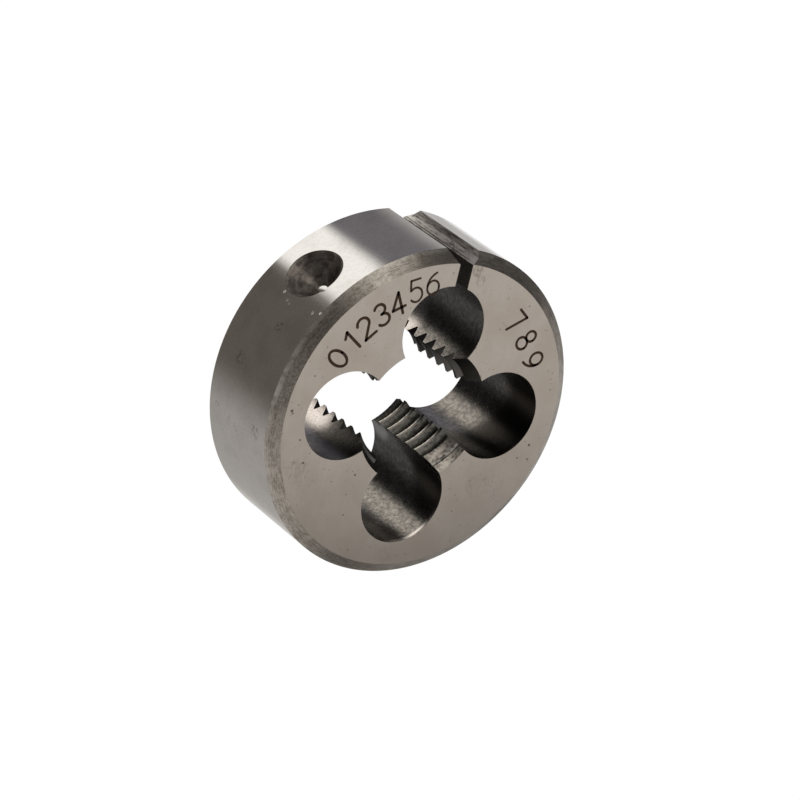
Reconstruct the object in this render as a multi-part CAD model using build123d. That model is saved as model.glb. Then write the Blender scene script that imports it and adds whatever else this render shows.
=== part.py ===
from build123d import *
import math
import os

# A split round threading die, M10 x 1.25, right hand, one piece of hardened high-speed steel.
# Millimetres.  The die lies on its plain face: Z runs up the thread axis to the marked face,
# and the split opens towards +Y.

# Blank
outside_diameter = 25.4
thickness = 9.5
marked_chamfer_width = 0.91          # across the face
marked_chamfer_height = 0.74         # along the rim
plain_chamfer_width = 0.91
plain_chamfer_height = 0.86

# Thread, basic 60 degree form
thread_diameter = 10.0
thread_pitch = 1.25
thread_start_height = 0.62           # first groove's centre over the plain face, at the split
thread_angle = 60.0
lead_mouth_diameter = 10.52          # lead-in cone where it opens on either face
lead_length = 1.60

# Four chip holes that break into the thread and leave four lands
chip_hole_count = 4
chip_hole_diameter = 6.88
chip_hole_circle = 13.20             # diameter through the hole centres

# Split from the rim into the chip hole on +Y, ground a little off centre
slit_width = 1.14
slit_offset = 0.62                   # slit centre from the YZ plane

# Notch over the slit for the spreading screw
notch_depth = 1.0                    # from the rim down to the slit's corners
notch_flank_angle = 45.0             # plain flank, from the floor up
notch_ledge_width = 0.55             # flat step beside the slit
notch_ledge_rise = 0.40
notch_side_lean = 19.0               # steep side over the step, from upright

# Conical dimples for the clamping screws
dimple_diameter = 4.8
dimple_angle = 90.0
dimple_from_split = 44.5             # each side of the split, in degrees
dimple_height = 4.78                 # up from the plain face

cut_margin = 1.0                     # how far every cutter runs past what it cuts

outside_radius = outside_diameter / 2
split_direction = 90.0               # degrees from +X


def thread_depth():
    """Height of the ridges: five eighths of the sharp 60 degree triangle."""
    sharp_height = thread_pitch / (2 * math.tan(math.radians(thread_angle / 2)))
    return sharp_height * 5 / 8


thread_radius = thread_diameter / 2
crest_radius = thread_radius - thread_depth()
lead_mouth_radius = lead_mouth_diameter / 2


def blank():
    """Disc with an edge chamfer at each face, turned about Z from the split round to the split."""
    half_section = Polyline(
        (0, 0),
        (outside_radius - plain_chamfer_width, 0),
        (outside_radius, plain_chamfer_height),
        (outside_radius, thickness - marked_chamfer_height),
        (outside_radius - marked_chamfer_width, thickness),
        (0, thickness),
        close=True,
    )
    return revolve(Plane.YZ * make_face(half_section), Axis.Z)


def bore():
    """Core hole at the crest diameter with a lead-in cone at each face."""
    slope = (lead_mouth_radius - crest_radius) / lead_length
    past = lead_mouth_radius + slope * cut_margin
    half_section = Polyline(
        (0, -cut_margin),
        (past, -cut_margin),
        (crest_radius, lead_length),
        (crest_radius, thickness - lead_length),
        (past, thickness + cut_margin),
        (0, thickness + cut_margin),
        close=True,
    )
    return revolve(Plane.XZ * make_face(half_section), Axis.Z)


def thread_turn():
    """One turn of the groove, as strips between helices, starting at the split direction."""
    flank_slope = math.tan(math.radians(thread_angle / 2))
    root_half = thread_pitch / 16
    mouth_radius = crest_radius - thread_depth() / 4
    mouth_half = root_half + (thread_radius - mouth_radius) * flank_slope
    section = [
        (mouth_radius, -mouth_half),
        (thread_radius, -root_half),
        (thread_radius, root_half),
        (mouth_radius, mouth_half),
    ]
    helices = [
        Pos(0, 0, height) * Helix(thread_pitch, thread_pitch, radius) for radius, height in section
    ]
    strips = [
        Face.make_surface_from_curves(lower.edge(), upper.edge())
        for lower, upper in zip(helices, helices[1:] + helices[:1])
    ]
    ends = [
        make_face(Polyline(*[helix @ end for helix in helices], close=True)).face()
        for end in (0, 1)
    ]
    return Rot(0, 0, split_direction) * Solid(Shell(strips + ends))


def thread_groove():
    """The turns from below the plain face to past the marked one."""
    turn = thread_turn()
    turn_count = math.ceil(thickness / thread_pitch) + 2
    first_height = thread_start_height - 2 * thread_pitch
    return [Pos(0, 0, first_height + index * thread_pitch) * turn for index in range(turn_count)]


def chip_holes():
    """Round holes through the whole thickness, the first one on the split."""
    hole = Cylinder(
        chip_hole_diameter / 2,
        thickness + 2 * cut_margin,
        align=(Align.CENTER, Align.CENTER, Align.MIN),
    )
    ring = PolarLocations(chip_hole_circle / 2, chip_hole_count, start_angle=split_direction)
    return [Pos(0, 0, -cut_margin) * place * hole for place in ring]


def split():
    """Slit from the first chip hole out through the rim, and the notch over it."""
    left_wall = slit_offset - slit_width / 2
    right_wall = slit_offset + slit_width / 2
    hole_centre = chip_hole_circle / 2
    floor = outside_radius - notch_depth
    top = outside_radius + cut_margin
    left_run = (top - floor) / math.tan(math.radians(notch_flank_angle))
    ledge_top = floor + notch_ledge_rise
    side_run = (top - ledge_top) * math.tan(math.radians(notch_side_lean))
    outline = Polyline(
        (left_wall, hole_centre),
        (left_wall, floor),
        (left_wall - left_run, top),
        (right_wall + notch_ledge_width + side_run, top),
        (right_wall + notch_ledge_width, ledge_top),
        (right_wall, floor),
        (right_wall, hole_centre),
        close=True,
    )
    return Pos(0, 0, -cut_margin) * extrude(make_face(outline), thickness + 2 * cut_margin)


def dimples():
    """Cones drilled square to the rim, one each side of the split."""
    slope = math.tan(math.radians(dimple_angle / 2))
    depth = dimple_diameter / 2 / slope
    cone = Cone(
        0,
        dimple_diameter / 2 + cut_margin * slope,
        depth + cut_margin,
        align=(Align.CENTER, Align.CENTER, Align.MIN),
    )
    turned = Pos(outside_radius - depth, 0, dimple_height) * Rot(0, 90, 0) * cone
    return [Rot(0, 0, split_direction + side * dimple_from_split) * turned for side in (-1, 1)]


def die_body():
    """Chip holes come before the thread, so that each turn starts and ends in an open hole."""
    body = blank() - bore()
    for cutter in chip_holes() + thread_groove() + [split()] + dimples():
        body = body - cutter
    return body


os.makedirs("parts", exist_ok=True)
export_step(die_body(), "parts/die_body.step")
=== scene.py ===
import math

import bpy
import numpy as np
from mathutils import Matrix


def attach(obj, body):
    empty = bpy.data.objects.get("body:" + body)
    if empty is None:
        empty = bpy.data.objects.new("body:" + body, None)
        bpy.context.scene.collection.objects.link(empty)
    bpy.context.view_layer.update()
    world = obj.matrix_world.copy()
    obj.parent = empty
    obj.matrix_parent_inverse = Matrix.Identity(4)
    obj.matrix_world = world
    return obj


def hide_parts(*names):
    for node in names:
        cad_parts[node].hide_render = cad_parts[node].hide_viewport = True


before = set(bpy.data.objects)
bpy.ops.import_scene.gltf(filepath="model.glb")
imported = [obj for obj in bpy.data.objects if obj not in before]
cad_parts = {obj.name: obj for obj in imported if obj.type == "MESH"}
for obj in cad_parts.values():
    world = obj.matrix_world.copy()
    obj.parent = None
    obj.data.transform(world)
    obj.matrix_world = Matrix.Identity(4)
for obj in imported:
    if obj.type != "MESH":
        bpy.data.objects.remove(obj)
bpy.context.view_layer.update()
mm = 0.001
print("frame loaded")


# camera
camera = {
    "target": (0.716, -0.482, 5.498),    # mm
    "distance": 290.535,                 # mm
    "azimuth": -119.672,                 # degrees, 0 looks along +Y
    "elevation": 49.004,
    "roll": 127.100,
    "lens": 179.349,                     # mm
    "sensor": 36.0,
    "clip": (0.01, 20.0),                # m, the nearest and the farthest that it sees
}


def makeCamera(view):
    azimuth, elevation, roll = (math.radians(view[name]) for name in ("azimuth", "elevation", "roll"))
    forward = np.array((
        -math.sin(azimuth) * math.cos(elevation),
        math.cos(azimuth) * math.cos(elevation),
        -math.sin(elevation),
    ))
    level = np.cross(forward, (0, 0, 1))
    level /= np.linalg.norm(level)
    upright = np.cross(level, forward)
    right = math.cos(roll) * level + math.sin(roll) * upright
    up = np.cross(right, forward)
    place = np.array(view["target"]) - view["distance"] * forward
    matrix = np.eye(4)
    matrix[:3, 0], matrix[:3, 1], matrix[:3, 2], matrix[:3, 3] = right, up, -forward, place * mm
    data = bpy.data.cameras.new("camera")
    data.lens, data.sensor_width = view["lens"], view["sensor"]
    data.clip_start, data.clip_end = view["clip"]
    eye = bpy.data.objects.new("camera", data)
    bpy.context.scene.collection.objects.link(eye)
    eye.matrix_world = Matrix(matrix.tolist())
    bpy.context.scene.camera = eye


bpy.context.scene.view_settings.view_transform = "Standard"
makeCamera(camera)
print("camera placed")


# shader maths
spotFade = (1.2, 0.6)                    # where a spot is gone and where it is full, in its radii


class Socket:
    def __init__(self, shade, link):
        self.shade, self.link = shade, link

    def math(self, operation, *others):
        return self.shade.node("Math", {"operation": operation}, dict(enumerate((self, *others))))

    def __add__(self, other):
        return self.math("ADD", other)

    def __mul__(self, other):
        return self.math("MULTIPLY", other)

    def __sub__(self, other):
        return self.math("SUBTRACT", other)

    def __rsub__(self, other):
        return self.shade.node("Math", {"operation": "SUBTRACT"}, {0: other, 1: self})

    __radd__, __rmul__ = __add__, __mul__


class Shade:                             # the nodes of one material, or of a tree that is given
    def __init__(self, name, tree=None):
        if tree is None:
            self.material = bpy.data.materials.new(name)
            self.material.use_nodes = True
            tree = self.material.node_tree
        self.tree = tree
        tree.nodes.clear()

    def node(self, kind, settings, inputs, output=0):
        made = self.tree.nodes.new("ShaderNode" + kind)
        for name, value in settings.items():
            setattr(made, name, value)
        for name, value in inputs.items():
            if isinstance(value, Socket):
                self.tree.links.new(value.link, made.inputs[name])
            else:
                made.inputs[name].default_value = value
        return Socket(self, made.outputs[output]) if made.outputs else None

    def point(self):                     # Object coordinates in millimetres
        place = self.node("TexCoord", {}, {}, "Object")
        return self.node("VectorMath", {"operation": "SCALE"}, {0: place, "Scale": 1 / mm})

    def parts(self, vector):
        return [self.node("SeparateXYZ", {}, {0: vector}, axis) for axis in "XYZ"]

    def joined(self, x, y, z):
        return self.node("CombineXYZ", {}, {"X": x, "Y": y, "Z": z})

    def fromAxis(self, x, y):            # distance from the die's axis
        return (x * x + y * y).math("SQRT")

    def noise(self, vector, scale, detail, rough, stretch=(1, 1, 1)):
        drawn = self.node("VectorMath", {"operation": "MULTIPLY"}, {0: vector, 1: stretch})
        inputs = {"Vector": drawn, "Scale": scale, "Detail": detail, "Roughness": rough}
        return self.node("TexNoise", {}, inputs, "Fac")

    def noises(self, vector, look, *names):                    # those that a look keeps under these names
        return [self.noise(vector, *look[name]) for name in names]

    def span(self, value, low, high):                          # smooth step, 0 at low and 1 at high
        inputs = {"Value": value, "From Min": low, "From Max": high}
        return self.node("MapRange", {"interpolation_type": "SMOOTHSTEP"}, inputs)

    def within(self, values, fades):                           # 1 where every value is past its own fade
        share = 1.0
        for value, fade in zip(values, fades):
            share = self.span(value, *fade) * share
        return share

    def mix(self, share, first, second):                       # sockets 6, 7 and 2 are its colours
        first, second = ((*c, 1) if isinstance(c, tuple) else c for c in (first, second))
        return self.node("Mix", {"data_type": "RGBA"}, {0: share, 6: first, 7: second}, 2)

    def weigh(self, values, shares):                           # the values' sum, each by its share
        return sum(value * share for value, share in zip(values, shares))

    def layers(self, colour, over, values, fades):             # each fade has a low, a high and a share
        for value, (low, high, share) in zip(values, fades):
            colour = self.mix(self.span(value, low, high) * share, colour, over)
        return colour

    def spot(self, point, middle, radius):                     # 1 round a point, 0 far from it
        away = self.node("VectorMath", {"operation": "DISTANCE"}, {0: point, 1: middle}, "Value")
        return self.span(away, *(radius * share for share in spotFade))

    def bump(self, height, depth, before=None):                # depth in millimetres for a height of 1
        inputs = {"Height": height, "Distance": depth * mm, "Strength": 1.0}
        if before:
            inputs["Normal"] = before
        return self.node("Bump", {}, inputs)

    def steel(self, colour, roughness, normal):
        inputs = {"Base Color": colour, "Metallic": 1.0, "Roughness": roughness, "Normal": normal}
        self.node("OutputMaterial", {}, {"Surface": self.node("BsdfPrincipled", {}, inputs)})
        return self.material


# meshes
def addMesh(name, points, faces, materials, smooth=False):     # points in mm
    mesh = bpy.data.meshes.new(name)
    mesh.from_pydata((np.asarray(points) * mm).tolist(), [], faces)
    mesh.polygons.foreach_set("use_smooth", np.full(len(mesh.polygons), smooth))
    for material in materials:
        mesh.materials.append(material)
    made = bpy.data.objects.new(name, mesh)
    bpy.context.scene.collection.objects.link(made)
    return made


def gridQuads(rows, columns, closed=False):                    # closed joins the last row to the first
    number = np.arange(rows * columns).reshape(rows, columns)
    if closed:
        number = np.concatenate([number, number[:1]])
    corners = [number[:-1, :-1], number[1:, :-1], number[1:, 1:], number[:-1, 1:]]
    return np.stack(corners, -1).reshape(-1, 4).tolist()


# die
die = {
    "radius": 12.7, "thickness": 9.5,                              # mm, as the frame's solid has them
    "markedChamfer": (0.91, 0.74), "plainChamfer": (0.91, 0.86),   # across the face, along the rim
    "threadRadius": 5.0, "pitch": 1.25,
    "threadStart": 0.62, "threadTurn": 0.25,                       # the groove's height at this turn from +X
    "mouthRadius": 5.26, "leadLength": 1.6,
    "holeRadius": 3.44, "holeRing": 6.6, "holes": 4,
    "slitMiddle": 0.62, "slitWidth": 1.14,
    "notchFloor": 11.7, "ledge": (0.55, 0.40), "sideLean": 19.0,   # the lean in degrees
    "dimpleRadius": 2.4, "dimpleHeight": 4.78,
    "dimpleAngles": (45.5, 134.5),                                 # degrees round the rim
}


# finishes of the steel. A noise is written as its scale, detail, roughness and stretch, a fade as its low,
# its high and, where it has one, its share, and a grain as the shares of the noises in it. Uneven is how
# far a noise moves the roughness, relief is the depth of the bumps in mm.
def groundFace():
    look = {
        "colour": (0.55, 0.483, 0.42), "stain": (0.475, 0.405, 0.34), "rust": (0.30, 0.26, 0.21),
        "speck": (0.15, 0.125, 0.105),
        "roughness": 0.29, "uneven": (0.10, 0.08), "relief": 0.003,
        "cloud": (0.35, 3, 0.5), "fine": (14.0, 3, 0.7), "patches": (1.1, 4, 0.6, (1.0, 0.45, 1.0)),
        "lines": (9.0, 3, 0.6, (1.0, 0.06, 1.0)), "grit": (3.2, 4, 0.65),
        "stained": [(0.38, 0.72, 0.55), (0.50, 0.75, 0.35), (0.42, 0.66, 0.30)],   # by cloud, fine, patches
        "rusted": (0.42, 0.60), "rustGrain": (0.4, 0.6),           # of lines, grit
        "specked": (0.645, 0.72), "speckShare": 0.8, "reliefGrain": (0.5, 0.5),    # of lines, fine
        "pits": [                        # x, y, radius
            (10.25, -2.36, 0.11), (9.46, -3.40, 0.07), (-11.32, 0.39, 0.13), (-11.20, 0.20, 0.08),
            (-4.62, -4.62, 0.09), (-10.08, 3.07, 0.07), (-9.34, -3.63, 0.10), (-10.06, -1.85, 0.08),
            (-4.82, -7.77, 0.07),
        ],
        "stains": [                      # x, y, radius, share
            (1.75, 11.3, 0.55, 0.9), (2.15, 10.5, 0.50, 0.6), (6.44, -5.54, 1.10, 0.25),
            (8.0, -5.6, 0.90, 0.2), (-9.6, -4.2, 1.10, 0.4), (-0.1, -10.9, 0.80, 0.25),
        ],
    }
    s = Shade("groundFace")
    p = s.point()
    cloud, fine, patches = s.noises(p, look, "cloud", "fine", "patches")
    lines, grit = s.noises(p, look, "lines", "grit")
    colour = s.layers(look["colour"], look["stain"], (cloud, fine, patches), look["stained"])
    rusted = s.span(s.weigh((lines, grit), look["rustGrain"]), *look["rusted"])
    for x, y, radius, share in look["stains"]:
        wearAndPaintedHighlight = s.spot(p, (x, y, die["thickness"]), radius) * rusted
        colour = s.mix(wearAndPaintedHighlight * share, colour, look["rust"])
    specks = s.span(grit, *look["specked"]) * look["speckShare"]
    for x, y, radius in look["pits"]:
        specks = specks.math("MAXIMUM", s.spot(p, (x, y, die["thickness"]), radius))
    colour = s.mix(specks, colour, look["speck"])
    byLines, byCloud = look["uneven"]
    rough = look["roughness"] + (lines - 0.5) * byLines + (cloud - 0.5) * byCloud
    return s.steel(colour, rough, s.bump(s.weigh((lines, fine), look["reliefGrain"]), look["relief"]))


def onRim(angle, height):                # point of the rim, in degrees round it and millimetres up
    angle = math.radians(angle)
    return die["radius"] * math.cos(angle), die["radius"] * math.sin(angle), height


def groundRim():
    look = {
        "colour": (0.61, 0.595, 0.575), "dark": (0.43, 0.415, 0.39), "ding": (0.95, 0.94, 0.90),
        "smudge": (0.24, 0.21, 0.18),
        "roughness": 0.17, "uneven": (0.10, 0.05, 0.3), "relief": 0.004,
        "reliefGrain": (0.6, 0.4, 3.0),                            # of streaks, grain, dings
        "streaks": (5.0, 3, 0.6, (1.0, 1.0, 0.05)), "cloud": (0.5, 3, 0.5), "grain": (4.0, 5, 0.75),
        "darkened": [(0.40, 0.75, 0.40), (0.44, 0.68, 0.28)],      # by cloud, grain
        "smudged": (0.45, 0.60), "smudgeShare": 0.62, "dinged": (0.42, 0.56),
        "dings": [                       # degrees round the rim, height, radius
            (145.2, 4.0, 0.15), (146.9, 4.9, 0.10), (145.3, 7.95, 0.16), (144.0, 8.65, 0.13),
            (147.5, 5.3, 0.07),
        ],
        "smudges": [
            (190.8, 1.9, 0.35), (192.6, 3.6, 0.30), (193.5, 4.6, 0.35), (190.0, 7.3, 0.60),
            (171.0, 3.5, 0.60), (93.1, 6.6, 0.14), (155.3, 5.9, 0.45),
        ],
    }
    s = Shade("groundRim")
    p = s.point()
    streaks, cloud, grain = s.noises(p, look, "streaks", "cloud", "grain")
    colour = s.layers(look["colour"], look["dark"], (cloud, grain), look["darkened"])
    smudges = sum(s.spot(p, onRim(*place), radius) for *place, radius in look["smudges"])
    dings = sum(s.spot(p, onRim(*place), radius) for *place, radius in look["dings"])
    smudges = smudges * s.span(grain, *look["smudged"])
    colour = s.mix(smudges * look["smudgeShare"], colour, look["smudge"])
    dings = dings * s.span(grain, *look["dinged"])
    colour = s.mix(dings, colour, look["ding"])
    byStreaks, byGrain, byDings = look["uneven"]
    rough = look["roughness"] + (streaks - 0.5) * byStreaks + (grain - 0.5) * byGrain + dings * byDings
    relief = s.weigh((streaks, grain, dings), look["reliefGrain"])
    return s.steel(colour, rough, s.bump(relief, look["relief"]))


def turnedChamfer():
    look = {
        "colour": (0.46, 0.42, 0.377), "dark": (0.19, 0.166, 0.142), "wearAndPaintedHighlight": (0.56, 0.53, 0.49),
        "roughness": 0.31, "uneven": 0.15, "relief": 0.005, "edgeRelief": 0.015,
        "turns": (15.0, 3, 0.6), "along": 0.10,                    # noise across the cut, its share along it
        "patch": (0.8, 4, 0.7), "grit": (6.0, 4, 0.75),
        "darkened": (0.40, 0.62), "darkGrain": (0.45, 0.25, 0.30), # of turns, patch, grit
        "reliefGrain": (0.6, 0.4),                                 # of turns, grit
        "patchy": (0.75, 0.35),                                    # where the patches let the wear and the painted highlight show
        "paintedShadeByNotch": ((-4.2, -2.6), (0.4, -0.4), (8.0, 10.0)),          # painted shade beside the notch: fades in x, x and y
        "paintedShadeShare": 0.45,
        "left": ((-8.0, -9.5), (-0.5, 1.5), (8.5, 7.0)),           # the left side: fades in x, y and y
        "leftGrit": (0.44, 0.60), "leftShare": 0.5,
        "streak": (12.36, 12.56), "streakShare": 0.8,              # a worn line with a painted highlight there, fade in the radius
        # the outer edge, lighter as wear and as a painted highlight: fade in the radius, share
        "edge": (12.35, 12.68), "edgeShare": 0.5,
    }
    s = Shade("turnedChamfer")
    p = s.point()
    x, y, z = s.parts(p)
    radius = s.fromAxis(x, y)
    rings = s.noise(s.joined(x * look["along"], y * look["along"], radius - z), *look["turns"])
    patch, grit = s.noises(p, look, "patch", "grit")
    shade = s.weigh((rings, patch, grit), look["darkGrain"])
    colour = s.mix(s.span(shade, *look["darkened"]), look["colour"], look["dark"])
    # painted shade beside the notch
    paintedShadeByNotch = s.within((x, x, y), look["paintedShadeByNotch"])
    colour = s.mix(paintedShadeByNotch * look["paintedShadeShare"], colour, look["dark"])
    left = s.within((x, y, y), look["left"])
    colour = s.mix(left * s.span(grit, *look["leftGrit"]) * look["leftShare"], colour, look["dark"])
    patchy = s.span(patch, *look["patchy"])
    # lighter line and outer edge: wear and painted highlight
    streak = left * s.span(radius, *look["streak"]) * patchy
    colour = s.mix(streak * look["streakShare"], colour, look["wearAndPaintedHighlight"])
    edge = s.span(radius, *look["edge"]) * patchy
    colour = s.mix(edge * look["edgeShare"], colour, look["wearAndPaintedHighlight"])
    relief = s.bump(s.weigh((rings, grit), look["reliefGrain"]), look["relief"])
    normal = s.bump(edge, look["edgeRelief"], relief)
    return s.steel(colour, look["roughness"] + (patch - 0.5) * look["uneven"], normal)


def chipHole():
    look = {
        # the bright colour is painted highlight and painted reflection on the walls
        "colour": (0.38, 0.355, 0.325), "dark": (0.165, 0.157, 0.148), "paintedHighlight": (0.86, 0.80, 0.76),
        # the near black colour is painted shade high on the walls
        "darkening": (0.04, 0.036, 0.032),
        "roughness": 0.25, "uneven": 0.35, "relief": 0.007,
        "grain": (7.0, 4, 0.75), "fine": (22.0, 3, 0.7), "mottle": (3.0, 3, 0.7),
        "darkened": (0.38, 0.60), "darkGrain": (0.6, 0.4),         # of mottle, grain
        "brightened": (1.0, 0.35), "paintedShadeShare": 0.92, "reliefGrain": (0.6, 0.4),    # of grain, fine
        "mouth": (9.40, 9.50), "mouthRelief": -0.05,               # the rounded edge: fade in height
        "paintedHighlightSpots": [                 # x, y, z, radius of painted reflections low on the walls
            (-4.6, -2.9, 1.8, 3.0), (2.5, 4.5, 0.8, 2.4), (2.6, -4.4, 1.0, 1.4),
        ],
        # painted shade high on the walls: x, y, z, radius
        "paintedShadeSpots": [
            (-4.2, -2.4, 8.2, 3.5), (9.0, -2.5, 8.3, 3.9), (7.3, -3.3, 8.2, 3.4), (5.2, -3.1, 9.4, 3.0),
            (10.0, 0.6, 8.5, 2.8), (-1.0, -9.8, 8.0, 2.2), (-0.8, -9.9, 5.0, 2.0), (3.3, -5.7, 8.0, 2.8),
        ],
        "paintedEdgeHighlight": (1.9, -9.5, 9.5, 2.2), "paintedEdgeHighlightFade": (9.1, 9.35),                # painted highlight on the edge of a mouth, and its fade in height
    }
    s = Shade("chipHole")
    p = s.point()
    z = s.parts(p)[2]
    grain, fine, mottle = s.noises(p, look, "grain", "fine", "mottle")
    shade = s.weigh((mottle, grain), look["darkGrain"])
    colour = s.mix(s.span(shade, *look["darkened"]), look["colour"], look["dark"])
    # painted reflections low on the walls of the holes
    for *place, radius in look["paintedHighlightSpots"]:
        paintedHighlight = s.spot(p, place, radius) * s.span(grain, *look["brightened"])
        colour = s.mix(paintedHighlight, colour, look["paintedHighlight"])
    # painted shade high on the walls of the holes
    for *place, radius in look["paintedShadeSpots"]:
        colour = s.mix(s.spot(p, place, radius) * look["paintedShadeShare"], colour, look["darkening"])
    # painted highlight along the edge of a hole's mouth
    *place, radius = look["paintedEdgeHighlight"]
    colour = s.mix(s.spot(p, place, radius) * s.span(z, *look["paintedEdgeHighlightFade"]), colour, look["paintedHighlight"])
    relief = s.bump(s.weigh((grain, fine), look["reliefGrain"]), look["relief"])
    normal = s.bump(s.span(z, *look["mouth"]), look["mouthRelief"], relief)
    return s.steel(colour, look["roughness"] + (fine - 0.5) * look["uneven"], normal)


# steel left by a cutter: light and dark grain, in the notch drawn out along the way of the cut
cuts = {
    "darkened": (0.40, 0.66), "uneven": 0.2,
    "slitWall": {
        "light": (0.24, 0.215, 0.19), "dark": (0.12, 0.105, 0.09),
        "roughness": 0.45, "grain": (6.0, 4, 0.65), "relief": 0.006,
    },
    "notchSide": {
        "light": (0.30, 0.275, 0.245), "dark": (0.07, 0.062, 0.052),
        "roughness": 0.38, "grain": (9.0, 4, 0.65, (1.0, 1.0, 0.10)), "relief": 0.010,
    },
    "etched": {
        "light": (0.10, 0.064, 0.044), "dark": (0.05, 0.033, 0.024),
        "roughness": 0.55, "grain": (8.0, 4, 0.65), "relief": 0.006,
    },
}


def cutFinish(name):
    look = cuts[name]
    s = Shade(name)
    grain = s.noise(s.point(), *look["grain"])
    colour = s.mix(s.span(grain, *cuts["darkened"]), look["light"], look["dark"])
    rough = look["roughness"] + (grain - 0.5) * cuts["uneven"]
    return s.steel(colour, rough, s.bump(grain, look["relief"]))


# thread steel: bright on the land between the holes on +X and -Y, darker on the others
threads = {
    "darkened": (0.40, 0.62), "uneven": 0.2, "darkGrain": (0.5, 0.5),              # of grain, rings
    "grain": (4, 0.65), "rings": (3, 0.6),                         # detail and roughness
    "ringScale": 2.5, "along": 0.2,                                # over the grain's, its share along the cut
    "mouth": (0.53, 0.49, 0.44), "mouthFades": ((7.9, 8.2), (0.60, 0.42)),         # painted light near the mouth that evens out the thread's shading there: fades in height, grain
    "darkening": (4.5, 2.0),                                             # fade in x - y, mm
    "crestPaintedShadeFade": (0.42, 0.49), "crestPaintedShadeShare": 0.95,           # of the painted shade on the crests, in pitches over the groove
    "threadLead": {
        "light": (0.49, 0.457, 0.415), "dark": (0.20, 0.178, 0.155), "otherLands": (0.13, 0.12, 0.105),
        "roughness": 0.30, "scale": 4.0, "relief": 0.006,
    },
    "threadCrest": {
        "light": (0.66, 0.63, 0.59), "dark": (0.24, 0.225, 0.205), "otherLands": (0.15, 0.14, 0.13),
        "roughness": 0.22, "scale": 7.0, "relief": 0.006,
        "crestPaintedShade": (0.13, 0.122, 0.11),                           # painted shade over all of each crest but its lower edge, which keeps a painted highlight line
    },
    "threadGroove": {
        "light": (0.27, 0.258, 0.23), "dark": (0.115, 0.108, 0.096), "otherLands": (0.14, 0.132, 0.123),
        "roughness": 0.28, "scale": 4.0, "relief": 0.003,
    },
}


def threadFinish(name):
    look = threads[name]
    s = Shade(name)
    p = s.point()
    x, y, z = s.parts(p)
    across = s.fromAxis(x, y) - z
    turned = s.joined(x * threads["along"], y * threads["along"], across)
    rings = s.noise(turned, look["scale"] * threads["ringScale"], *threads["rings"])
    grain = s.noise(p, look["scale"], *threads["grain"])
    grain = s.weigh((grain, rings), threads["darkGrain"])
    colour = s.mix(s.span(grain, *threads["darkened"]), look["light"], look["dark"])
    # painted shade over each crest, all but a painted highlight line on its lower edge
    if "crestPaintedShade" in look:
        turns = y.math("ARCTAN2", x) * (0.5 / math.pi)
        lift = (z - die["threadStart"]) * (1 / die["pitch"]) - turns + die["threadTurn"]
        crestPaintedShade = s.span(lift.math("FRACT"), *threads["crestPaintedShadeFade"]) * threads["crestPaintedShadeShare"]
        colour = s.mix(crestPaintedShade, colour, look["crestPaintedShade"])
    # painted light near the mouth, which evens out the shading of the thread there
    colour = s.mix(s.within((z, grain), threads["mouthFades"]), colour, threads["mouth"])
    # darker on the lands away from the one between +X and -Y
    colour = s.mix(s.span(x - y, *threads["darkening"]), colour, look["otherLands"])
    rough = look["roughness"] + (grain - 0.5) * threads["uneven"]
    return s.steel(colour, rough, s.bump(grain, look["relief"]))


# floor of the notch: speckled, with one dark scratch along the slit and a bright top end, worn and with a
# painted highlight
def ledgeFinish():
    look = {
        "light": (0.60, 0.57, 0.51), "dark": (0.12, 0.105, 0.085), "wearAndPaintedHighlight": (0.80, 0.76, 0.70),
        "roughness": 0.32, "uneven": 0.2, "relief": 0.015,
        "lines": (11.0, 2, 0.5), "along": 0.05,                    # noise across the cut, its share along it
        "grain": (8.0, 4, 0.7, (1.0, 1.0, 0.35)), "darkGrain": (0.45, 0.55),       # of grain, lines
        "darkened": (0.46, 0.62), "brightEndHeight": (8.3, 9.0), "brightEndShare": 0.6,
        "scratchMiddle": 1.31, "scratch": (0.06, 0.02),            # x, and the fade on either side of it
        "scratchShare": 0.85,
    }
    s = Shade("ledgeFinish")
    p = s.point()
    x, _, z = s.parts(p)
    lines = s.noise(s.joined(x, 0.0, z * look["along"]), *look["lines"])
    grain = s.weigh((s.noise(p, *look["grain"]), lines), look["darkGrain"])
    colour = s.mix(s.span(grain, *look["darkened"]), look["light"], look["dark"])
    scratch = s.span((x - look["scratchMiddle"]).math("ABSOLUTE"), *look["scratch"])
    colour = s.mix(scratch * look["scratchShare"], colour, look["dark"])
    # the bright top end by the chamfer: wear and painted highlight
    colour = s.mix(s.span(z, *look["brightEndHeight"]) * look["brightEndShare"], colour, look["wearAndPaintedHighlight"])
    rough = look["roughness"] + (grain - 0.5) * look["uneven"]
    return s.steel(colour, rough, s.bump(grain, look["relief"]))


def dimpleFinish():
    look = {
        "colour": (0.25, 0.225, 0.20), "dark": (0.095, 0.083, 0.073), "roughness": 0.42, "relief": 0.014,
        "grain": (1.4, 4, 0.65), "turns": (7.0, 2, 0.6), "darkened": (0.38, 0.60),
        "darkGrain": (0.25, 0.75), "reliefGrain": (0.3, 0.7),      # of turns, grain
        "wander": 0.4,                                             # how far the grain moves the turns
    }
    s = Shade("dimpleFinish")
    p = s.point()
    x, y, _ = s.parts(p)
    grain = s.noise(p, *look["grain"])
    rings = s.noise(s.joined(s.fromAxis(x, y), 0.0, grain * look["wander"]), *look["turns"])
    shade = s.weigh((rings, grain), look["darkGrain"])
    colour = s.mix(s.span(shade, *look["darkened"]), look["colour"], look["dark"])
    relief = s.weigh((rings, grain), look["reliefGrain"])
    return s.steel(colour, look["roughness"], s.bump(relief, look["relief"]))


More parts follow.
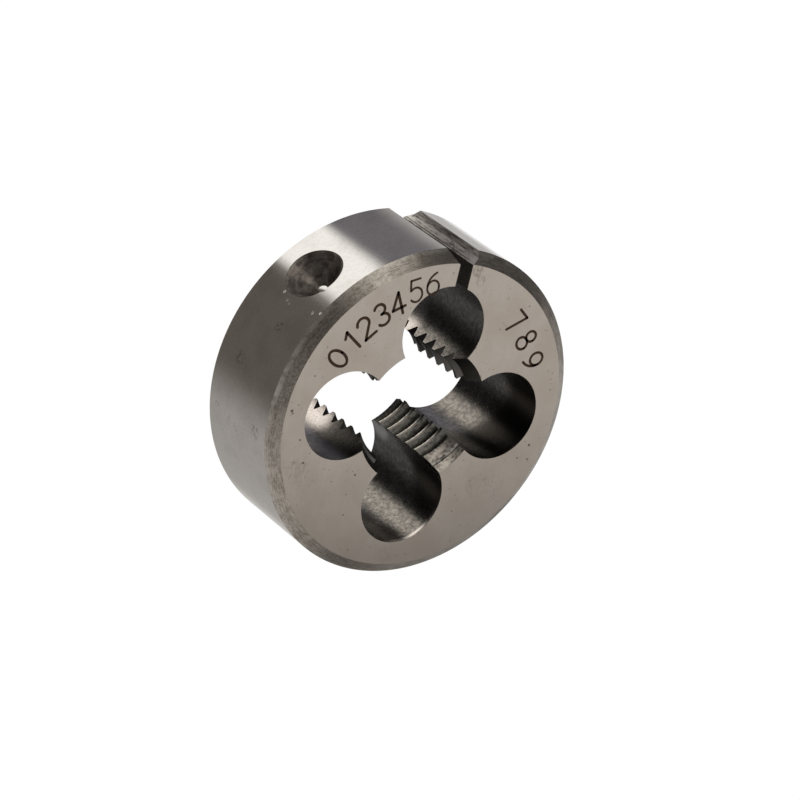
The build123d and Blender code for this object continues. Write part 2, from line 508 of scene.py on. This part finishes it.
finishes = {
    "face": groundFace(),
    "rim": groundRim(),
    "chamfer": turnedChamfer(),
    "chipHole": chipHole(),
    "lead": threadFinish("threadLead"),
    "crest": threadFinish("threadCrest"),
    "groove": threadFinish("threadGroove"),
    "slit": cutFinish("slitWall"),
    "ledge": ledgeFinish(),
    "notch": cutFinish("notchSide"),
    "dimple": dimpleFinish(),
}
print("finishes made")


# the die's surfaces
fineMesh = {
    "closeness": 0.0006,                 # mm, how far the middle of an edge may lie off its surface
    "passes": 3,                         # of halving edges
    "moves": 6,                          # of the points onto their surfaces, in each pass
    "step": 1e-4,                        # mm, for slopes
    "farness": 50,                       # how much a mm off a surface counts against a facet's direction
    "decimals": 5,                       # of a mm, to which two points count as one
}
flankAngle = math.radians(30)
flank = math.tan(flankAngle)
crestRadius = die["threadRadius"] - die["pitch"] / (2 * flank) * 5 / 8    # five eighths of the sharp height


# a line turned round Z: the distance from it, above 0 on its right side where the radius is drawn to the
# right and the height up
def cone(p, at, run):
    across, rise = run[0] / math.hypot(*run), run[1] / math.hypot(*run)
    return (np.hypot(p[:, 0], p[:, 1]) - at[0]) * rise - (p[:, 2] - at[1]) * across


# upright plane through a point of the XY plane: the way from it to each point along its normal
def plane(p, at, normal):
    return ((p[:, 0] - at[0]) * normal[0] + (p[:, 1] - at[1]) * normal[1]) / math.hypot(*normal)


# the groove's half width less the height off its centre line, times the flank's cosine; the line climbs one
# pitch a turn, and the half width is a sixteenth of the pitch at the thread's radius and grows inwards
def grooveFlank(p):
    turn = (np.arctan2(p[:, 1], p[:, 0]) / (2 * math.pi) - die["threadTurn"]) * die["pitch"]
    lift = (p[:, 2] - die["threadStart"] - turn) / die["pitch"]
    off = np.abs(lift - np.round(lift)) * die["pitch"]
    half = die["pitch"] / 16 + (die["threadRadius"] - np.hypot(p[:, 0], p[:, 1])) * flank
    return (half - off) * math.cos(flankAngle)


# depth in from the cone's tip less the distance from its axis, which is square to the rim; a 90 degree cone
def dimple(p, angle):
    out = p[:, 0] * math.cos(angle) + p[:, 1] * math.sin(angle)
    side = p[:, 1] * math.cos(angle) - p[:, 0] * math.sin(angle)
    depth = out - (die["radius"] - die["dimpleRadius"])
    return (depth - np.hypot(side, p[:, 2] - die["dimpleHeight"])) / math.sqrt(2)


# upright bore on the ring of holes: its radius less the distance from its axis
def chipBore(p, angle):
    x, y = die["holeRing"] * math.cos(angle), die["holeRing"] * math.sin(angle)
    return die["holeRadius"] - np.hypot(p[:, 0] - x, p[:, 1] - y)


def surfaces():                          # each one's distance, above 0 outside the steel, and its finish
    top, rim = die["thickness"], die["radius"]
    across, down = die["markedChamfer"]
    acrossPlain, downPlain = die["plainChamfer"]
    grow = die["mouthRadius"] - crestRadius
    left = die["slitMiddle"] - die["slitWidth"] / 2
    right = die["slitMiddle"] + die["slitWidth"] / 2
    floor, (ledge, rise) = die["notchFloor"], die["ledge"]
    lean = math.radians(die["sideLean"])
    found = [
        (lambda p: p[:, 2] - top, "face"),
        (lambda p: -p[:, 2], "face"),
        (lambda p: np.hypot(p[:, 0], p[:, 1]) - rim, "rim"),
        (lambda p: cone(p, (rim, top - down), (-across, down)), "chamfer"),
        (lambda p: cone(p, (rim - acrossPlain, 0), (acrossPlain, downPlain)), "chamfer"),
        (lambda p: cone(p, (die["mouthRadius"], top), (-grow, -die["leadLength"])), "lead"),
        (lambda p: cone(p, (crestRadius, die["leadLength"]), (grow, -die["leadLength"])), "lead"),
        (lambda p: crestRadius - np.hypot(p[:, 0], p[:, 1]), "crest"),
        (lambda p: die["threadRadius"] - np.hypot(p[:, 0], p[:, 1]), "groove"),
        (grooveFlank, "groove"),
        (lambda p: plane(p, (left, 0), (1, 0)), "slit"),
        (lambda p: plane(p, (right, 0), (-1, 0)), "slit"),
        (lambda p: plane(p, (left, floor), (1, 1)), "notch"),
        (lambda p: plane(p, (right, floor), (-rise, ledge)), "ledge"),
        (lambda p: plane(p, (right + ledge, floor + rise), (-math.cos(lean), math.sin(lean))), "notch"),
    ]
    for index in range(die["holes"]):
        angle = math.pi / 2 + index * 2 * math.pi / die["holes"]
        found.append((lambda p, angle=angle: chipBore(p, angle), "chipHole"))
    for angle in die["dimpleAngles"]:
        found.append((lambda p, angle=math.radians(angle): dimple(p, angle), "dimple"))
    return found


def slope(distance, points):             # direction in which the distance grows fastest, by small steps
    step = fineMesh["step"]
    moves = np.eye(3) * step
    return np.stack([distance(points + m) - distance(points - m) for m in moves], 1) / (2 * step)


def sortFaces(points, faces, found):     # the surface that each facet lies on, and how well it fits
    corners = points[faces]
    normals = np.cross(corners[:, 1] - corners[:, 0], corners[:, 2] - corners[:, 0])
    normals /= np.maximum(np.linalg.norm(normals, axis=1, keepdims=True), 1e-12)
    middles = corners.mean(1)
    scores = []
    for distance, _ in found:
        off = np.max([np.abs(distance(corners[:, i])) for i in range(3)], axis=0)
        scores.append((slope(distance, middles) * normals).sum(1) - off * fineMesh["farness"])
    return np.argmax(scores, axis=0), np.max(scores, axis=0)


# one pass: an edge whose middle lies too far off its surface is halved, then all points move onto theirs
def splitEdges(points, faces, kinds, found):
    sides = np.sort(np.stack([faces, np.roll(faces, -1, 1)], 2), 2).reshape(-1, 2)
    edges, which = np.unique(sides, axis=0, return_inverse=True)
    which = which.reshape(-1, 3)
    middles = points[edges].mean(1)
    far = np.zeros(len(edges))
    for kind, (distance, _) in enumerate(found):
        own = which[kinds == kind].ravel()
        np.maximum.at(far, own, np.abs(distance(middles[own])))
    halved = far > fineMesh["closeness"]
    number = np.full(len(edges), -1)
    number[halved] = len(points) + np.arange(halved.sum())
    points = np.concatenate([points, middles[halved]])
    mark = halved[which]
    count = mark.sum(1)                  # halved edges of a facet, whose corners turn until these come first
    turn = np.where(count == 1, np.argmax(mark, 1), np.where(count == 2, np.argmin(mark, 1) + 1, 0)) % 3
    order = (turn[:, None] + np.arange(3)) % 3
    faces, middle = np.take_along_axis(faces, order, 1), np.take_along_axis(number[which], order, 1)
    a, b, c = faces.T
    ab, bc, ca = middle.T
    patterns = {
        0: [(a, b, c)],
        1: [(a, ab, c), (ab, b, c)],
        2: [(ab, b, bc), (a, ab, bc), (a, bc, c)],
        3: [(a, ab, ca), (ab, b, bc), (ca, bc, c), (ab, bc, ca)],
    }
    newFaces, newKinds = [], []
    for many, triangles in patterns.items():
        chosen = count == many
        for triangle in triangles:
            newFaces.append(np.stack(triangle, 1)[chosen])
            newKinds.append(kinds[chosen])
    faces, kinds = np.concatenate(newFaces), np.concatenate(newKinds)
    for _ in range(fineMesh["moves"]):
        for kind, (distance, _) in enumerate(found):
            own = np.unique(faces[kinds == kind])
            if len(own):
                away = slope(distance, points[own])
                points[own] -= distance(points[own])[:, None] * away / (away ** 2).sum(1, keepdims=True)
    return points, faces, kinds


def readSolid(mesh):                     # points in mm and triangles of a mesh, doubles joined
    points = np.empty(len(mesh.vertices) * 3, np.float32)
    mesh.vertices.foreach_get("co", points)
    mesh.calc_loop_triangles()
    faces = np.empty(len(mesh.loop_triangles) * 3, np.int32)
    mesh.loop_triangles.foreach_get("vertices", faces)
    points = np.round(points.reshape(-1, 3).astype(float) / mm, fineMesh["decimals"])
    points, same = np.unique(points, axis=0, return_inverse=True)
    faces = same.ravel()[faces].reshape(-1, 3)
    return points, faces[(faces != np.roll(faces, 1, 1)).all(1)]          # without those that have no area


def cornerNormals(points, faces, kinds, found):                # the surface's own direction at each corner
    normals = np.zeros((len(faces), 3, 3))
    for kind, (distance, _) in enumerate(found):
        own = kinds == kind
        if own.any():
            normals[own] = slope(distance, points[faces[own]].reshape(-1, 3)).reshape(-1, 3, 3)
    return normals / np.linalg.norm(normals, axis=2, keepdims=True)


def makeDie():
    points, faces = readSolid(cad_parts["die_body"].data)
    found = surfaces()
    kinds, fitness = sortFaces(points, faces, found)
    print("facets", len(faces), "worst fit", round(float(fitness.min()), 3))
    for _ in range(fineMesh["passes"]):
        points, faces, kinds = splitEdges(points, faces, kinds, found)
    steel = addMesh("dieSteel", points, faces.tolist(), finishes.values(), smooth=True)
    finishOf = np.array([list(finishes).index(finish) for _, finish in found], np.int32)
    steel.data.polygons.foreach_set("material_index", finishOf[kinds])
    normals = cornerNormals(points, faces, kinds, found)
    steel.data.normals_split_custom_set(normals.reshape(-1, 3).tolist())
    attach(steel, "root")
    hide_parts("die_body")
    print("die made:", len(faces), "facets")


makeDie()


# burr on the edge of a dimple
burr = {
    "angle": 134.8,                      # degrees round the rim
    "along": 0.50, "height": 6.90,       # mm along the rim from there, and up
    "sizes": (0.08, 0.32, 0.42),         # mm from its middle, outwards, along the rim and up
    "lean": 16.0,                        # degrees
    "grid": (24, 13),                    # points round it and from pole to pole
}


# an ellipsoid: cosine and sine of the turn, both by the cosine of the lift, and the sine of the lift, each
# times its size, then leaned over and moved out to the rim
def makeBurr():
    turn, lean = math.radians(burr["angle"]), math.radians(burr["lean"])
    rounds, lifts = burr["grid"]
    around = np.radians(np.linspace(0, 360, rounds, endpoint=False))
    around, lift = np.meshgrid(around, np.radians(np.linspace(-90, 90, lifts)), indexing="ij")
    ball = np.stack([np.cos(around) * np.cos(lift), np.sin(around) * np.cos(lift), np.sin(lift)], -1)
    out, along, up = np.moveaxis(ball * burr["sizes"], -1, 0)
    along, up = along * math.cos(lean) - up * math.sin(lean), along * math.sin(lean) + up * math.cos(lean)
    out, along = out + die["radius"] - burr["sizes"][0] / 2, along + burr["along"]
    points = np.stack([
        out * math.cos(turn) - along * math.sin(turn), out * math.sin(turn) + along * math.cos(turn),
        burr["height"] + up,
    ], -1).reshape(-1, 3)
    quads = gridQuads(rounds, lifts, closed=True)
    made = addMesh("burr", points, quads, [finishes["rim"]], smooth=True)
    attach(made, "root")


makeBurr()
print("burr made")


# marks etched in the face
marks = {
    "height": 1.75, "stroke": 0.23, "proud": 0.004, "sunk": 0.02,      # mm
    "arcStep": 12, "endStep": 30,        # degrees between the points of an arc and of a round end
    "digits": [                          # digit, degrees round the face, radius of its foot, stroke's share
        ("0", 152.5, 8.70, 1.0), ("1", 143.0, 8.70, 1.0), ("2", 135.0, 8.70, 1.0), ("3", 126.0, 8.75, 1.0),
        ("4", 117.5, 8.85, 1.0), ("5", 108.5, 9.30, 0.75), ("6", 100.5, 9.55, 0.75),
        ("7", 50.0, 8.75, 0.9), ("8", 38.5, 8.75, 0.9), ("9", 27.0, 8.75, 0.9),
    ],
}


# part of an ellipse, angles in degrees: its middle, and cosine and sine of the turn by its half widths
def arc(x, y, across, up, start, stop):
    count = round(abs(stop - start) / marks["arcStep"]) + 1
    turns = np.radians(np.linspace(start, stop, count))
    return np.stack([x + across * np.cos(turns), y + up * np.sin(turns)], 1)


glyphs = {                               # strokes of each digit, its height 1 and its middle at x = 0
    "0": [arc(0, 0.5, 0.29, 0.5, 0, 360)],
    "1": [[(-0.16, 0.80), (0.08, 1.0)], [(0.08, 1.0), (0.08, 0.0)]],
    "2": [
        np.concatenate([arc(0, 0.72, 0.28, 0.28, 165, -35), [(-0.28, 0.0)]]), [(-0.28, 0.0), (0.30, 0.0)],
    ],
    "3": [arc(-0.01, 0.76, 0.25, 0.24, 150, -90), arc(-0.01, 0.26, 0.29, 0.26, 90, -150)],
    "4": [[(0.12, 0.0), (0.12, 1.0)], [(0.12, 1.0), (-0.30, 0.28)], [(-0.30, 0.28), (0.30, 0.28)]],
    "5": [
        [(0.24, 1.0), (-0.20, 1.0)], [(-0.20, 1.0), (-0.24, 0.55)], arc(-0.01, 0.32, 0.29, 0.32, 130, -145),
    ],
    "6": [arc(0, 0.31, 0.28, 0.31, 0, 360), arc(0.42, 0.36, 0.70, 0.64, 175, 113)],
    "7": [[(-0.28, 1.0), (0.28, 1.0)], [(0.28, 1.0), (-0.08, 0.0)]],
    "8": [arc(0, 0.76, 0.23, 0.24, 0, 360), arc(0, 0.26, 0.28, 0.26, 0, 360)],
    "9": [arc(0, 0.69, 0.28, 0.31, 0, 360), arc(-0.42, 0.64, 0.70, 0.64, -5, -67)],
}


# outline of a round-ended line along a path: its two sides, the path moved by half the width square to its
# way, and the half circles round its tip and its tail
def stroke(path, half):
    path = np.array(path)
    steps = np.diff(path, axis=0)
    steps /= np.linalg.norm(steps, axis=1, keepdims=True)
    ways = np.concatenate([steps[:1], steps[:-1] + steps[1:], steps[-1:]])
    ways /= np.linalg.norm(ways, axis=1, keepdims=True)
    side = np.stack([-ways[:, 1], ways[:, 0]], 1) * half
    turns = np.radians(np.arange(marks["endStep"], 180, marks["endStep"]))[:, None]
    tip = path[-1] + side[-1] * np.cos(turns) + ways[-1] * half * np.sin(turns)
    tail = path[0] - side[0] * np.cos(turns) - ways[0] * half * np.sin(turns)
    return path + side, path - side, tip, tail


# facets between a stroke's upper and lower outline. Each has count points: two sides of along points, and
# ends points round each end. The lids are quads from side to side and one facet at each end.
def slab(along, ends, count):
    near = np.arange(along)
    across = 2 * along + ends - 1 - near
    lids = [*np.stack([near[:-1], across[:-1], across[1:], near[1:]], 1)]
    lids += [np.arange(along - 1, along + ends + 1)[::-1], np.append(np.arange(across[0], count), 0)[::-1]]
    upper = np.arange(count)
    after = np.roll(upper, -1)
    wall = np.stack([upper, after, count + after, count + upper], 1)
    return [*lids, *(count + lid[::-1] for lid in lids), *wall]


def makeMarks():
    points, faces, first = [], [], 0
    top, bottom = die["thickness"] + marks["proud"], die["thickness"] - marks["sunk"]
    for digit, angle, foot, share in marks["digits"]:
        turn = math.radians(angle)
        out, right = np.array((math.cos(turn), math.sin(turn))), np.array((math.sin(turn), -math.cos(turn)))
        half = marks["stroke"] * share / marks["height"] / 2
        for path in glyphs[digit]:
            left, other, tip, tail = stroke(path, half)
            outline = np.concatenate([left, tip, other[::-1], tail])
            flat = foot * out + marks["height"] * (outline[:, :1] * right + outline[:, 1:] * out)
            points += [np.insert(flat, 2, height, 1) for height in (top, bottom)]
            faces += [(first + face).tolist() for face in slab(len(left), len(tip), len(flat))]
            first += 2 * len(flat)
    made = addMesh("marks", np.concatenate(points), faces, [cutFinish("etched")])
    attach(made, "root")


makeMarks()
print("marks made")


# studio
studio = {
    "floorSize": 1200.0,                 # mm
    "floorDrop": 0.01,                   # mm under the die
    "wellRadius": 11.3,                  # mm, opening of the floor under the die
    "wellStep": 5,                       # degrees between its points
    "cloth": (0.8, 0.8, 0.8, 1),
    "floorGlow": 1.04, "glowShare": 0.94,                          # level of the white, its share
    "domeRadius": 62.0,                  # mm, close enough that a flat face shows its edge
    "domeGrid": (181, 61),               # points round it and up
    "domeLevel": (0.085, 0.082, 0.08),
    "domeBoxes": [                       # azimuth, height, half angle and softness in degrees, level
        (140.0, 58.0, 24.0, 10.0, (0.15, 0.142, 0.133)),
        (198.0, 52.0, 20.0, 12.0, (0.42, 0.41, 0.40)),
        (245.0, 32.0, 30.0, 18.0, (0.73, 0.71, 0.69)),
        (306.0, -4.0, 18.0, 10.0, (0.30, 0.285, 0.27)),
        (358.0, -4.0, 12.0, 10.0, (0.26, 0.25, 0.24)),
        (8.0, 0.0, 7.0, 6.0, (0.52, 0.505, 0.485)),
        (15.8, 64.1, 36.0, 8.0, (0.71, 0.715, 0.72)),
        (322.0, 45.0, 5.0, 4.0, (0.30, 0.30, 0.30)),
        (108.0, 68.0, 12.0, 5.0, (0.40, 0.39, 0.37)),
        (97.0, 44.0, 12.0, 5.0, (1.42, 1.39, 1.32)),
        (112.0, 12.0, 20.0, 7.0, (1.10, 1.06, 1.00)),
    ],
    "skirtLengths": (20.0, 54.0),        # mm of table card outside the rim, in front and behind
    "skirtHeights": (0.02, 0.01),        # mm over the die's foot, in front and behind
    "skirtGrid": (361, 4),               # points round it and outwards
    "tableLevel": (0.475, 0.455, 0.435),
    "tableCards": [                      # degrees round the rim: from, softness, to, softness; level
        (20, 5, 71.5, 4, (1.06, 1.06, 1.06)), (75, 5, 94, 4, (0.64, 0.63, 0.63)),
        (97, 5, 118, 4, (0.22, 0.208, 0.226)), (139, 4, 183, 10, (0.155, 0.137, 0.120)),
        (118.4, 3.0, 137.5, 2.6, (1.43, 1.41, 1.36)), (235, 16, 265, 9, (1.12, 1.10, 1.08)),
    ],
    "behindLevel": (0.62, 0.605, 0.585),
    "behindCards": [
        (272, 10, 322, 3, (0.40, 0.385, 0.365)), (322, 3, 329, 2, (0.36, 0.35, 0.335)),
        (342, 2, 348, 2, (0.74, 0.72, 0.69)), (348, 2, 372, 8, (0.52, 0.505, 0.485)),
    ],
    "farRadius": 600.0,                  # mm, far enough for the same light in all four chip holes
    "wellLevel": (0.025, 0.024, 0.025),
    "wellBoxes": [                       # light that comes up through the well
        (46.0, -34.0, 21.0, 8.0, (0.36, 0.355, 0.40)),
        (252.0, -47.0, 32.0, 12.0, (0.175, 0.175, 0.18)),
        (105.0, -33.5, 26.0, 8.0, (1.22, 1.16, 1.08)),
    ],
}
sight = math.radians(camera["azimuth"] + 90)           # the way the camera looks, round Z


def smooth(value, low, high):            # smooth step, 0 at low and 1 at high
    share = np.clip((value - low) / (high - low), 0, 1)
    return share * share * (3 - 2 * share)


def blend(glow, level, share):           # moves a glow that is laid down towards a level, by a share
    glow += (np.array(level) - glow) * share[..., None]


def glowRound(degrees, level, cards):    # level with stripes, by the place on the rim that shows them
    glow = np.broadcast_to(level, (*degrees.shape, 3)).copy()
    for low, softLow, high, softHigh, shine in cards:
        start = smooth(degrees, low - softLow, low + softLow)
        stop = smooth(degrees, high + softHigh, high - softHigh)
        blend(glow, shine, start * stop)
    return glow


def cardMaterial():                      # glows with the colour kept in the mesh
    s = Shade("card")
    glow = s.node("Attribute", {"attribute_name": "glow"}, {}, "Color")
    s.node("OutputMaterial", {}, {"Surface": s.node("Emission", {}, {"Color": glow, "Strength": 1.0})})
    s.material.cycles.emission_sampling = "NONE"
    return s.material


def card(name, grid, glow, material):    # grid (rows, columns, 3) in mm, seen by the metal only
    rows, columns, _ = grid.shape
    made = addMesh(name, grid.reshape(-1, 3), gridQuads(rows, columns), [material])
    colours = np.ones((rows * columns, 4), np.float32)
    colours[:, :3] = glow.reshape(-1, 3)
    made.data.attributes.new("glow", "FLOAT_COLOR", "POINT").data.foreach_set("color", colours.ravel())
    for way in ("camera", "diffuse", "transmission", "volume_scatter", "shadow"):
        setattr(made, "visible_" + way, False)


# half a sphere round the die, above or below: the directions, cosine and sine of the azimuth, both by the
# cosine of the height, and the sine of the height, times the radius
def sphereCard(name, side, radius, level, boxes, material):
    rounds, lifts = studio["domeGrid"]
    azimuth = np.radians(np.linspace(0, 360, rounds))
    azimuth, height = np.meshgrid(azimuth, np.radians(np.linspace(0, 90, lifts)), indexing="ij")
    across = np.cos(height)
    ways = np.stack([np.cos(azimuth) * across, np.sin(azimuth) * across, side * np.sin(height)], -1)
    glow = np.broadcast_to(level, ways.shape).copy()
    for turn, lift, half, soft, shine in boxes:
        turn, lift = math.radians(turn), math.radians(lift)
        centre = (math.cos(turn) * math.cos(lift), math.sin(turn) * math.cos(lift), math.sin(lift))
        off = np.degrees(np.arccos(np.clip(ways @ np.array(centre), -1, 1)))
        blend(glow, shine, smooth(off, half + soft, half - soft))
    card(name, ways * radius, glow, material)


# table card round half the rim: each line starts at the rim and runs the way in which the rim there
# throws a line of sight, so that a stripe of the card shows in the metal as a stripe along the axis
def skirtCard(name, turn, height, length, level, cards, material):
    rounds, steps = studio["skirtGrid"]
    angle = sight + turn + math.pi / 2 + np.radians(np.linspace(0, 180, rounds))
    angle, along = np.meshgrid(angle, np.linspace(0, length, steps), indexing="ij")
    thrown = 2 * angle + math.pi - sight - turn
    grid = np.stack([
        die["radius"] * np.cos(angle) + along * np.cos(thrown),
        die["radius"] * np.sin(angle) + along * np.sin(thrown),
        np.full(angle.shape, height),
    ], -1)
    card(name, grid, glowRound(np.degrees(angle), level, cards), material)


def floorMaterial():                     # white to the eye, with a share of cloth that keeps the shadow
    s = Shade("floor")
    rays = ("Is Camera Ray", "Is Glossy Ray", "Is Transmission Ray")
    direct, mirrored, through = (s.node("LightPath", {}, {}, ray) for ray in rays)
    seen = direct.math("MAXIMUM", mirrored).math("MAXIMUM", through)
    white = s.node("Emission", {}, {"Color": (1, 1, 1, 1), "Strength": studio["floorGlow"]})
    cloth = s.node("BsdfDiffuse", {}, {"Color": studio["cloth"]})
    surface = s.node("MixShader", {}, {0: seen * studio["glowShare"], 1: cloth, 2: white})
    s.node("OutputMaterial", {}, {"Surface": surface})
    return s.material


# a square round a circular opening: cosine and sine of the turn, times the opening's radius, and the same
# two over the larger of them, times half the floor's size
def makeFloor():
    turns = np.radians(np.arange(0, 360, studio["wellStep"]))
    ring = np.stack([np.cos(turns), np.sin(turns), 0 * turns], 1)
    square = ring / np.abs(ring).max(1, keepdims=True)
    points = np.stack([square * studio["floorSize"] / 2, ring * studio["wellRadius"]], 1).reshape(-1, 3)
    floor = addMesh("floor", points, gridQuads(len(turns), 2, closed=True), [floorMaterial()])
    floor.location.z = -studio["floorDrop"] * mm


def makeWorld():
    world = bpy.data.worlds.new("world")
    world.use_nodes = True
    bpy.context.scene.world = world
    sky = Shade("world", world.node_tree)
    light = sky.node("Background", {}, {"Color": (1, 1, 1, 1), "Strength": 1.0})
    sky.node("OutputWorld", {}, {"Surface": light})


def makeStudio():
    makeFloor()
    makeWorld()
    glowing = cardMaterial()
    sphereCard("domeCard", 1, studio["domeRadius"], studio["domeLevel"], studio["domeBoxes"], glowing)
    sphereCard("wellCard", -1, studio["farRadius"], studio["wellLevel"], studio["wellBoxes"], glowing)
    (front, behind), (upper, lower) = studio["skirtLengths"], studio["skirtHeights"]
    skirtCard("tableCard", 0, upper, front, studio["tableLevel"], studio["tableCards"], glowing)
    skirtCard(
        "tableCardBehind", math.pi, lower, behind, studio["behindLevel"], studio["behindCards"], glowing
    )


makeStudio()
print("studio made")
